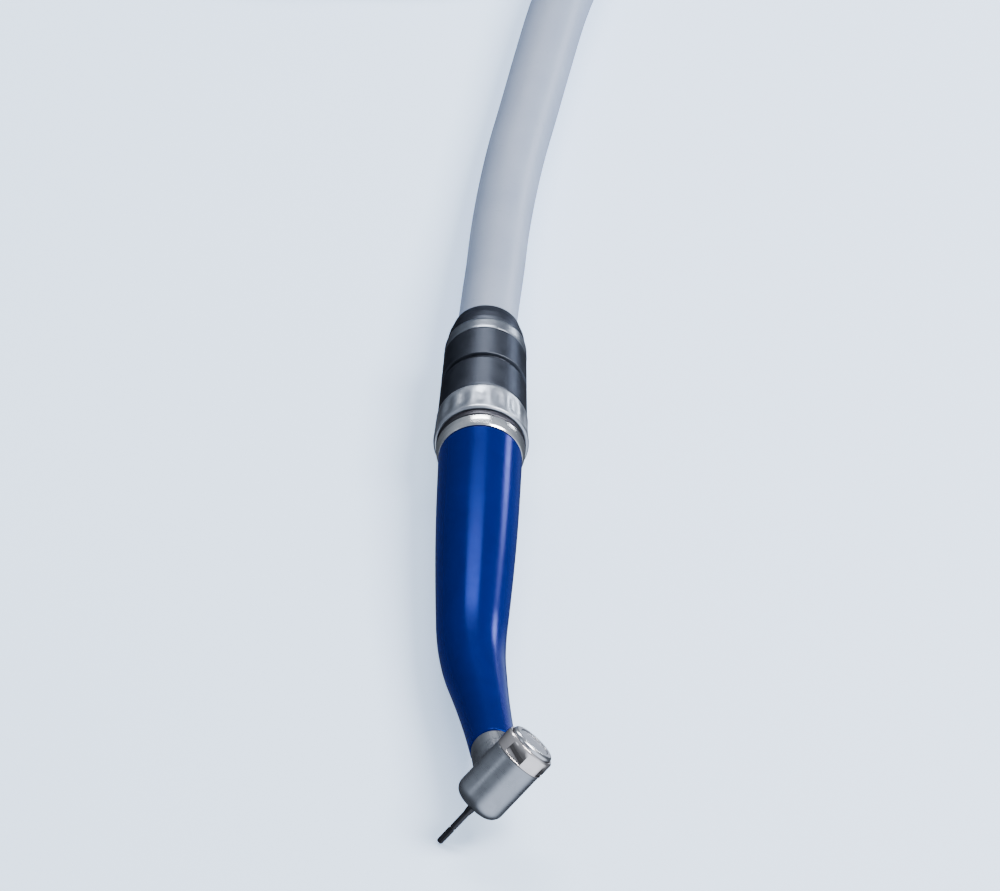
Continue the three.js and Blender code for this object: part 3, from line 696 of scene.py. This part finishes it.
def add_coupling(materials):
    nut = "coupling_nut"
    add_ring("trim_band", [
        (7.05, 0.1, 0.05), (7.8, 0.1, 0.1), (8.0, 0.45, 0.3), (8.22, 1.5, 0.8), (8.3, 2.6, 0.25),
        (8.1, 2.9, 0.1), (7.05, 2.9, 0.05),
    ], 0.1, BODY, materials["polished"], "handpiece", "polished_metal", "trim_ring", segments=NUT_SEGMENTS)
    plug = turned_mesh("plug", rounded([
        (0, -4), (6.6, -4), (6.6, 0.02), (6.9, 0.1), (6.9, 3.0), (8.3, 3.0, 0.12), (8.35, 3.4, 0.2),
        (8.3, 4.1, 0.12), (6.0, 4.2), (6.0, 13.5), (5.5, 14), (0, 14),
    ], 0.05, closed=False), NUT_SEGMENTS, placed_by(BODY), closed=False)
    passages = [port_rod(BODY, port, 1.0, -5, 15) for port in PORTS]
    base = boolean(plug, passages, "DIFFERENCE")
    even_normals(add_object(
        "stop_flange", base, materials["base"], "handpiece", "satin_steel", "tube_base",
    ))
    add_ring("coupling_nut_body", [
        (6.3, 4.5), (7.3, 4.5), (7.3, 12.03, 0.02), (8.28, 12.03, 0.12), (8.34, 12.5, 0.3), (8.16, 17.0, 2),
        (8.03, 20.9, 0.12), (7.3, 21.0, 0.1), (7.3, 22.25, 0.1), (7.98, 22.4, 0.12), (7.86, 26, 2),
        (7.7, 30.52, 0.12), (7.2, 30.6, 0.03), (7.2, 33.9, 0.03), (7.32, 33.92, 0.1), (7.3, 34.9, 0.8),
        (7.05, 36.6, 1.5), (6.5, 38.5, 0.8), (6.3, 39.3, 0.2), (6.15, 39.4, 0.1), (5.8, 39.3, 0.08),
        (5.8, 18), (6.3, 18),
    ], 0.08, BODY, materials["dark"], nut, "dark_metal", "nut_sleeve", segments=NUT_SEGMENTS)
    add_ring("grip_ring", [
        (7.4, 4.4, 0.05), (8.55, 4.4, 0.12), (8.85, 4.7, 0.25), (8.88, 5.0, 0.3), (8.72, 8, 3),
        (8.5, 11.5, 0.3), (8.3, 11.98, 0.1), (7.4, 11.98, 0.05),
    ], 0.1, BODY, materials["grip"], nut, "polished_metal", "knurled_ring", segments=400, shape=fluted,
        step=0.22)
    add_ring("light_ring", [
        (7.25, 30.7), (7.68, 30.7, 0.12), (7.72, 31.3, 0.4), (7.62, 33.2, 0.4), (7.5, 33.8, 0.12),
        (7.25, 33.8),
    ], 0.05, BODY, materials["accent"], nut, "polished_metal", "accent_ring", segments=NUT_SEGMENTS)


# ------------------------------------------------------------------ head

HEAD_SEGMENTS = 144
HEAD_RADIUS = 5.0
HOUSING_BOTTOM = -7.3
HOUSING_TOP = 4.9
NOSE_ROUND = 2.3
SPRAY_RECESS = 2.45
SPRAY_SEAT = -6.7
NOSE_HOLE = 1.35
CHAMBER_RADIUS = 4.4
BEARING_SEAT = 3.6
CAP_RADIUS = 5.12
CAP_TOP = 8.4
CAP_TURN = 55 * DEGREE
NOTCH_DEPTH = 0.5
LIP_BOTTOM = 6.6
LIP_TOP = 7.4
LIP_RADIUS = 3.95
BUTTON_RADIUS = 4.45
BUTTON_DISC = 8.2
BUTTON_TOP = 9.3
SPRING_INNER, SPRING_OUTER = 2.9, 3.6
SPRING_MIDDLE = 5.55
SPRING_WAVE = 0.3
SPRING_WAVES = 3
SPRING_THICKNESS = 0.15
NECK_RIM = 4.12
NECK_SPIGOT = 3.05  # the part that goes inside the shell
NECK_BORE = 2.6
NECK_BLEND = 1.0
JET_CIRCLE = 1.87
JET_TURN = 2.1  # radians from one spray jet to the next
BLADES = 6
BLADE_TWIST = 0.16  # radians per millimetre
BLADE_DEPTH = 0.16


def barrel_profile():
    nose = [
        (HEAD_RADIUS - NOSE_ROUND * (1 - math.cos(a)), HOUSING_BOTTOM + NOSE_ROUND * (1 - math.sin(a)))
        for a in np.linspace(math.pi / 2, 0, 14)
    ]
    wall = [(HEAD_RADIUS, y) for y in np.linspace(HOUSING_BOTTOM + NOSE_ROUND + 0.4, HOUSING_TOP - 0.2, 24)]
    rim = [(HEAD_RADIUS - 0.03, HOUSING_TOP - 0.07), (HEAD_RADIUS - 0.12, HOUSING_TOP)]
    inside = [
        (CHAMBER_RADIUS, HOUSING_TOP), (CHAMBER_RADIUS, -2.75),
        (BEARING_SEAT, -2.75), (BEARING_SEAT, -5.85),
        (NOSE_HOLE, -5.85), (NOSE_HOLE, SPRAY_SEAT),
        (SPRAY_RECESS, SPRAY_SEAT), (SPRAY_RECESS, HOUSING_BOTTOM),
    ]
    return [*nose, *wall, *rim, *inside]


def barrel_radius(y):
    """Outer radius of the head's barrel at a height along the turbine."""
    below = HOUSING_BOTTOM + NOSE_ROUND - y
    if below <= 0:
        return HEAD_RADIUS
    return HEAD_RADIUS - NOSE_ROUND + math.sqrt(max(0.0, NOSE_ROUND**2 - below**2))


def onto_barrel(point, sink):
    """The nearest place on the barrel's surface, a little below it. The point is in the head's frame."""
    y = min(point.y, HOUSING_TOP - 0.22)
    flat = Vector((point.x, 0, point.z)).normalized() * (barrel_radius(y) - sink)
    return Vector((flat.x, y, flat.z))


def neck_mesh(segments):
    """The neck: a bent tube whose outside flows into the barrel's wall."""
    to_head = HEAD.inverted() @ BODY

    def in_head(point):
        return to_head @ (bent(point) * MM) / MM

    def ring_at(distance, radius):
        return [
            in_head(Vector((radius * math.sin(a), -distance, radius * math.cos(a))))
            for a in angles(segments)
        ]

    start, rim, shoulder = NECK_START - 7, NECK_RIM, NECK_START + 0.02
    radii = [(shoulder, rim + 0.16), (98.5, 4.3), (101.5, 4.44), (104, 4.6)]
    outer = [
        (start, NECK_SPIGOT), (shoulder - 0.12, NECK_SPIGOT), (shoulder, 3.1),
        (shoulder + 0.03, rim), (shoulder + 0.1, rim + 0.12), (shoulder + 0.25, rim + 0.16),
    ]
    outer += [(d, float(np.interp(d, *zip(*radii)))) for d in np.linspace(shoulder + 0.6, 99.6, 8)]
    rings = [ring_at(distance, radius) for distance, radius in outer]
    _, forward, _ = along(HEAD_DISTANCE)
    heading = (to_head.to_3x3() @ forward).normalized()
    edge = rings[-1]
    middle = in_head(Vector((0, -outer[-1][0], 0)))
    hits = []
    for point in edge:
        grown = point + (point - middle).normalized() * 0.1
        across = Vector((heading.x, 0, heading.z))
        flat = Vector((grown.x, 0, grown.z))
        reach = 2 * flat.dot(across)
        square = across.length_squared
        room = max(0.0, reach**2 - 4 * square * (flat.length_squared - (HEAD_RADIUS - 0.02) ** 2))
        hits.append(grown + heading * ((-reach - math.sqrt(room)) / (2 * square)))
    blend = []
    for point, hit in zip(edge, hits):
        normal = Vector((hit.x, 0, hit.z)).normalized()
        outward = point - middle
        outward -= heading * outward.dot(heading)
        slide = outward - normal * outward.dot(normal)
        slide = slide.normalized() * NECK_BLEND if slide.length > 1e-6 else slide
        before = hit - heading * min(NECK_BLEND, (hit - point).length * 0.8)
        blend.append((point, before, hit, onto_barrel(hit + slide, 0.0)))
    for share in (0.33, 0.66, 1.0):
        rings.append([point.lerp(before, share) for point, before, _, _ in blend])
    for t in (0.14, 0.28, 0.42, 0.56, 0.7, 0.84, 0.96):
        rings.append([
            before * (1 - t) ** 2 + hit * (2 * t * (1 - t)) + end * t * t for _, before, hit, end in blend
        ])
    rings.append([onto_barrel(end, 0.12) for *_, end in blend])
    bore = ring_at(HEAD_DISTANCE - 5, NECK_BORE)
    for share in (0.2, 0.4, 0.6, 0.8, 1.0):
        rings.append([onto_barrel(end.lerp(inner, share), 0.12) for (*_, end), inner in zip(blend, bore)])
    rings += [ring_at(distance, NECK_BORE) for distance in np.linspace(101.5, start, 16)]
    vertices = [HEAD @ (point * MM) for ring in rings for point in ring]
    faces = []
    for i in range(len(rings)):
        a, b = i * segments, ((i + 1) % len(rings)) * segments
        faces += [(a + k, a + (k + 1) % segments, b + (k + 1) % segments, b + k) for k in range(segments)]
    return finished_mesh("neck", vertices, faces)


def add_housing(materials):
    barrel = turned_mesh("barrel", barrel_profile(), HEAD_SEGMENTS, placed_by(HEAD))
    mesh = boolean(barrel, [neck_mesh(HEAD_SEGMENTS)], "UNION")
    even_normals(add_object(
        "steel_head", mesh, materials["satin"], "handpiece", "satin_steel", "head_housing",
    ))


def notch_tool(turn):
    """A wedge that cuts one tapering wrench notch into the cap's side."""
    outline = [(-1.9, 0.1), (1.9, -0.05), (1.9, 0.15), (-1.9, 1.2)]
    spin = Matrix.Rotation(turn, 4, "Y")
    vertices = []
    for depth in (CAP_RADIUS - NOTCH_DEPTH, CAP_RADIUS + 1.5):
        for x, y in outline:
            vertices.append(HEAD @ (spin @ Vector((x, HOUSING_TOP + 0.35 + y, depth)) * MM))
    faces = [(0, 1, 2, 3), (7, 6, 5, 4)] + [(k, k + 4, (k + 1) % 4 + 4, (k + 1) % 4) for k in range(4)]
    return finished_mesh("notch", vertices, faces, smooth=False)


def add_cap(materials):
    rim, spigot, floor = BUTTON_RADIUS + 0.12, CHAMBER_RADIUS - 0.1, 4.95
    profile = rounded([
        (BEARING_SEAT, 1.7), (spigot, 1.7), (spigot, HOUSING_TOP + 0.1),
        (CAP_RADIUS, HOUSING_TOP + 0.08, 0.08), (CAP_RADIUS, CAP_TOP - 0.4, 0.35),
        (CAP_RADIUS - 0.22, CAP_TOP - 0.05, 0.15), (CAP_RADIUS - 0.33, CAP_TOP, 0.08),
        (rim, CAP_TOP, 0.06), (rim, LIP_TOP, 0.03), (LIP_RADIUS, LIP_TOP, 0.03), (LIP_RADIUS, LIP_BOTTOM),
        (spigot, LIP_BOTTOM), (spigot, floor + 0.35), (spigot - 0.4, floor),
        (1.8, floor), (1.8, floor - 0.45), (BEARING_SEAT, floor - 0.45),
    ], 0.04)
    blank = turned_mesh("cap", profile, 192, placed_by(HEAD))
    mesh = boolean(blank, [notch_tool(i * 90 * DEGREE + CAP_TURN) for i in range(4)], "DIFFERENCE")
    even_normals(add_object("head_cap", mesh, materials["cap"], "handpiece", "polished_metal", "back_cap"))


def add_button(materials):
    flange, stem = CHAMBER_RADIUS - 0.2, LIP_RADIUS - 0.12
    add_ring("chuck_button", [
        (0, 5.3), (1, 5.3), (1, 6.1), (flange, 6.1), (flange, LIP_BOTTOM - 0.1), (stem, LIP_BOTTOM - 0.1),
        (stem, BUTTON_DISC), (BUTTON_RADIUS, BUTTON_DISC, 0.06), (BUTTON_RADIUS, BUTTON_TOP - 0.35, 0.4),
        (BUTTON_RADIUS - 0.4, BUTTON_TOP - 0.03, 0.4), (3.3, BUTTON_TOP, 0.1),
        (3.1, BUTTON_TOP - 0.16, 0.1), (1.6, BUTTON_TOP - 0.26, 2), (0, BUTTON_TOP - 0.3),
    ], 0.04, HEAD, materials["button"], "push_button", "satin_steel", "push_button", closed=False)


def waved(angle, radius, y):
    return radius, y + SPRING_WAVE * math.sin(SPRING_WAVES * angle)


def add_button_spring(materials):
    """The wave spring under the button, drawn wavy and given a mesh of its own; the real spring flattens as
    the button is pressed.
    """
    bottom, top = SPRING_MIDDLE - SPRING_THICKNESS / 2, SPRING_MIDDLE + SPRING_THICKNESS / 2
    spring = add_ring("button_wave_spring", [
        (SPRING_INNER, bottom), (SPRING_OUTER, bottom), (SPRING_OUTER, top), (SPRING_INNER, top),
    ], 0.03, HEAD, materials["satin"], "handpiece", "spring_steel", "button_spring", shape=waved)
    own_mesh(spring)


def add_spray_ring(materials):
    mesh = turned_mesh("spray", rounded([
        (NOSE_HOLE, HOUSING_BOTTOM, 0.12), (SPRAY_RECESS - 0.08, HOUSING_BOTTOM, 0.06),
        (SPRAY_RECESS - 0.08, SPRAY_SEAT - 0.08), (NOSE_HOLE, SPRAY_SEAT - 0.08),
    ], 0.04), 96, placed_by(HEAD))
    jets = []
    for k in range(3):
        centre = Vector((JET_CIRCLE * math.cos(JET_TURN * k), 0, -JET_CIRCLE * math.sin(JET_TURN * k)))
        rod = turned_mesh("jet", [(0, -8), (0.2, -8), (0.2, -6), (0, -6)], 20,
                          lambda p, c=centre: HEAD @ ((p + c) * MM), closed=False)
        jets.append(rod)
    drilled = boolean(mesh, jets, "DIFFERENCE")
    add_object("spray_face", drilled, materials["satin"], "handpiece", "satin_steel", "spray_ring")


def bladed(angle, radius, y):
    """Twisted carbide blades: a steep face and a sloping back, fading at the neck."""
    if radius < 0.2:
        return radius, y
    turn = (BLADES * (angle + BLADE_TWIST * y) / (2 * math.pi)) % 1.0
    depth = BLADE_DEPTH * (1 - turn) ** 1.5 * (1 - smooth_step(y, -13.5, -13.1))
    return radius - depth * min(1.0, radius / 0.5), y


def add_bur(materials):
    add_ring("bur_shaft", [
        (0, -12.9), (0.6, -12.9, 0.02), (0.62, -9.4, 1), (0.8, -8.2, 0.5), (0.8, 2.2, 0.1), (0.66, 2.4, 0.05),
        (0, 2.4),
    ], 0.05, HEAD, materials["bur"], "bur", "satin_steel", "bur_shank", segments=64, closed=False)
    add_ring("bur_blades", [
        (0, -16.68), (0.45, -16.66, 0.1), (0.64, -16.4, 0.1), (0.64, -13.3, 0.1), (0.5, -13.02, 0.05),
        (0, -13.0),
    ], 0.05, HEAD, materials["carbide"], "bur", "tungsten_carbide", "bur_head", segments=144, shape=bladed,
        closed=False, step=0.12)


# ------------------------------------------------------------------ ties and the unit end

RIB_START, RIB_END = 9, 20.5
RIB_PITCH = 2.3
RIB_DEPTH = 0.35


def tie_outline(extra):
    """Section of the strap's inside or outside: a square round the four hoses, with round corners."""
    half = TURN_PITCH / 2
    centre_low = TIE_LIFT + HOSE_RADIUS
    radius = HOSE_RADIUS + 0.06 + extra
    points = []
    for corner, (sx, sz) in enumerate(((1, 0), (1, 1), (-1, 1), (-1, 0))):
        start = -math.pi / 2 + corner * math.pi / 2
        for k in range(13):
            angle = start + k * math.pi / 24
            height = centre_low + sz * TURN_PITCH + radius * math.sin(angle)
            points.append((sx * half + radius * math.cos(angle), height))
    return points


def add_tie(name, side, node, materials):
    middle = HANK_X + side * (HANK_INNER + HANK_OUTER) / 2
    centre_y = HANK_Y + HANK_STRAIGHT / 2
    inner, outer = tie_outline(0), tie_outline(0.75)
    section = [(6.0, 0.2), (5.8, 0), (-5.8, 0), (-6.0, 0.2), (-6.0, 0.8), (-5.8, 1), (5.8, 1), (6.0, 0.8)]
    vertices, count = [], len(inner)
    for (ix, iz), (ox, oz) in zip(inner, outer):
        for y, depth in section:
            x, z = ix + (ox - ix) * depth, iz + (oz - iz) * depth
            vertices.append(Vector((middle + x, centre_y + y, z)) * MM)
    ring = len(section)
    faces = []
    for i in range(count):
        a, b = i * ring, ((i + 1) % count) * ring
        faces += [(a + k, a + (k + 1) % ring, b + (k + 1) % ring, b + k) for k in range(ring)]
    mesh = finished_mesh(name, vertices, faces)
    return even_normals(add_object(name, mesh, materials["strap"], "handpiece", "hook_and_loop", node))


def unit_frame():
    """Where the hose's far end lies, with Y towards the barbs."""
    angle = math.pi + TAIL_TURN
    start = Vector((
        HANK_X + HANK_INNER * math.cos(angle),
        HANK_Y + HANK_STRAIGHT + HANK_INNER * math.sin(angle),
        TAIL_HEIGHT,
    ))
    level = math.cos(TAIL_RISE)
    y = Vector((-math.sin(angle) * level, math.cos(angle) * level, math.sin(TAIL_RISE)))
    return frame_from(start * MM, y, (0, 0, 1))


def ribbed(angle, radius, y):
    """Soft ribs round the strain relief."""
    if radius < 5.6 or not RIB_START < y < RIB_END:
        return radius, y
    return radius - RIB_DEPTH * (0.5 - 0.5 * math.cos(2 * math.pi * (y - RIB_START) / RIB_PITCH)), y


def add_unit_end(materials):
    place = unit_frame()
    relief = add_ring("unit_relief", [
        (0, 7.3), (5.9, 7.3, 0.3), (6.35, 13, 2), (7.15, 20.4, 1), (7.2, 22, 0.3), (0, 22),
    ], 0.2, place, materials["rubber"], "handpiece", "seal_rubber", "unit_strain_relief", closed=False,
        shape=ribbed, step=0.25)
    turned = place @ Matrix.Rotation(30 * DEGREE, 4, "Y")
    nut_mesh = turned_mesh("nut", [
        (0, 22.35), (8.1, 22.35), (8.55, 22.8), (8.55, 28.0), (8.1, 28.45), (0, 28.45),
    ], 6, placed_by(turned), closed=False)
    nut = add_object("unit_nut", nut_mesh, materials["nylon"], "handpiece", "nylon_grey", "unit_lock_nut")
    bevel = nut.modifiers.new("bevel", "BEVEL")
    bevel.width, bevel.segments, bevel.limit_method = 0.4 * MM, 4, "ANGLE"
    even_normals(nut)
    flange = turned_mesh("flange", rounded([
        (0, 28.8), (7.95, 28.8, 0.2), (7.95, 32, 0.2), (5.6, 32, 0.1), (5.6, 36, 0.3), (0, 36),
    ], 0.2, closed=False), 128, placed_by(place), closed=False)
    barbs = []
    for x, z, radius in PORTS:
        shift = Vector((x, 0, z))
        move = (lambda p, s=shift: place @ ((p + s) * MM))
        barb = rounded([
            (0, 35.2), (radius, 35.2), (radius, 37.4), (radius + 0.28, 37.7), (radius, 39.4),
            (radius + 0.26, 39.7), (radius - 0.1, 41.8), (0, 41.8),
        ], 0.05, closed=False)
        barbs.append(turned_mesh("barb", barb, 40, move, closed=False))
    bores = [port_rod(place, port, 0.6, 37, 43) for port in PORTS]
    mesh = boolean(boolean(flange, barbs, "UNION"), bores, "DIFFERENCE")
    fitting = even_normals(
        add_object("unit_end_fitting", mesh, materials["satin"], "handpiece", "satin_steel", "unit_fitting"),
    )
    return [relief, nut, fitting]


# ------------------------------------------------------------------ CAD pieces that stay

NODE_FINISHES = {
    "satin": ["drive_air_tube", "hose_connector"],
    "brass": ["water_tube", "chip_air_tube"],
    "ground": [
        "front_outer_race", "rear_outer_race", "front_inner_race", "rear_inner_race", "wave_washer",
        "spindle", "collet", "chuck_pin",
    ],
    "cage": ["front_ball_cage", "rear_ball_cage"],
    "rubber": ["front_o_ring", "rear_o_ring", "coupling_gasket"],
    "impeller": ["impeller"],
}


def finish_nodes(materials):
    for finish, names in NODE_FINISHES.items():
        for name in names:
            slots = frame["nodes"][name].data.materials
            slots.clear()
            slots.append(materials[finish])


# ------------------------------------------------------------------ studio

LOW_PANEL = (0.25, 0.93, -0.27)  # the way the head's end face looks back from the camera
CAP_PANEL = (-0.77, -0.34, 0.55)  # the way the upper left of the back cap does


def add_area(name, place, aim, size, power, colour):
    data = bpy.data.lights.new(name, "AREA")
    data.shape = "RECTANGLE"
    data.size, data.size_y = size
    data.energy = power
    data.color = colour
    light = bpy.data.objects.new(name, data)
    light.location = place
    light.rotation_mode = "QUATERNION"
    light.rotation_quaternion = (Vector(aim) - Vector(place)).to_track_quat("-Z", "Y")
    bpy.context.scene.collection.objects.link(light)


def add_sky():
    """Cool daylight: brighter above and to the right, a glow low in front, and two panels for the head."""
    world = bpy.data.worlds.new("studio")
    world.use_nodes = True
    direction = world.node_tree.nodes.new("ShaderNodeTexCoord").outputs["Generated"]
    links = world.node_tree.links

    def towards(way, low, high, from_low, from_high):
        dot = world.node_tree.nodes.new("ShaderNodeVectorMath")
        dot.operation = "DOT_PRODUCT"
        dot.inputs[1].default_value = Vector(way).normalized()
        links.new(direction, dot.inputs[0])
        share = world.node_tree.nodes.new("ShaderNodeMapRange")
        share.interpolation_type = "SMOOTHSTEP"
        limits = {"From Min": from_low, "From Max": from_high, "To Min": low, "To Max": high}
        for socket, value in limits.items():
            share.inputs[socket].default_value = value
        links.new(dot.outputs["Value"], share.inputs["Value"])
        return share.outputs[0]

    height = towards((0, 0, 1), 0.18, 0.5, -0.3, 0.7)
    side = towards((1, -0.1, 0), 0.8, 1.2, -0.8, 0.8)
    panel = towards(LOW_PANEL, 0.0, 1.1, 0.965, 0.99)
    front = towards((0.5, -0.75, -0.4), 0.0, 1.5, 0.4, 0.85)
    highlight = towards(CAP_PANEL, 0.0, 0.9, 0.98, 0.997)
    low_light = maths(world, "ADD", maths(world, "ADD", panel, front), highlight)
    strength = maths(world, "ADD", maths(world, "MULTIPLY", height, side), low_light)
    background = world.node_tree.nodes["Background"]
    background.inputs["Color"].default_value = (0.80, 0.88, 1.0, 1)
    links.new(strength, background.inputs["Strength"])
    bpy.context.scene.world = world


def add_studio():
    mesh = bpy.data.meshes.new("floor")
    half = 12.0
    corners = [(-half, -half, 0), (half, -half, 0), (half, half, 0), (-half, half, 0)]
    mesh.from_pydata(corners, [], [(0, 1, 2, 3)])
    floor = bpy.data.objects.new("floor", mesh)
    bpy.context.scene.collection.objects.link(floor)
    mesh.materials.append(floor_material())
    floor.visible_glossy = False  # so that gloss shows the dim lower sky and gives the edges their depth
    add_sky()
    add_area("key", (0.62, -0.05, 0.85), (0, 0, 0), (0.5, 0.5), 22, (1, 0.985, 0.96))
    add_area("top", (-0.02, 0.62, 0.70), (0, 0, 0), (0.44, 0.2), 5, (0.97, 0.98, 1))
    add_area("strip", (0.56, 0.82, 0.09), (0, 0, 0.01), (0.14, 0.16), 1.6, (0.9, 0.95, 1))


# ------------------------------------------------------------------ the whole model

add_camera()
MATERIALS = make_materials()
hose, hose_exit = add_hose(MATERIALS)
ties = [
    add_tie("left_tie", -1, "hank_tie_left", MATERIALS),
    add_tie("right_tie", 1, "hank_tie_right", MATERIALS),
]
unit_pieces = add_unit_end(MATERIALS)
add_shell(MATERIALS)
add_coupling(MATERIALS)
add_housing(MATERIALS)
add_cap(MATERIALS)
add_button(MATERIALS)
add_button_spring(MATERIALS)
add_spray_ring(MATERIALS)
add_bur(MATERIALS)
finish_nodes(MATERIALS)
add_studio()
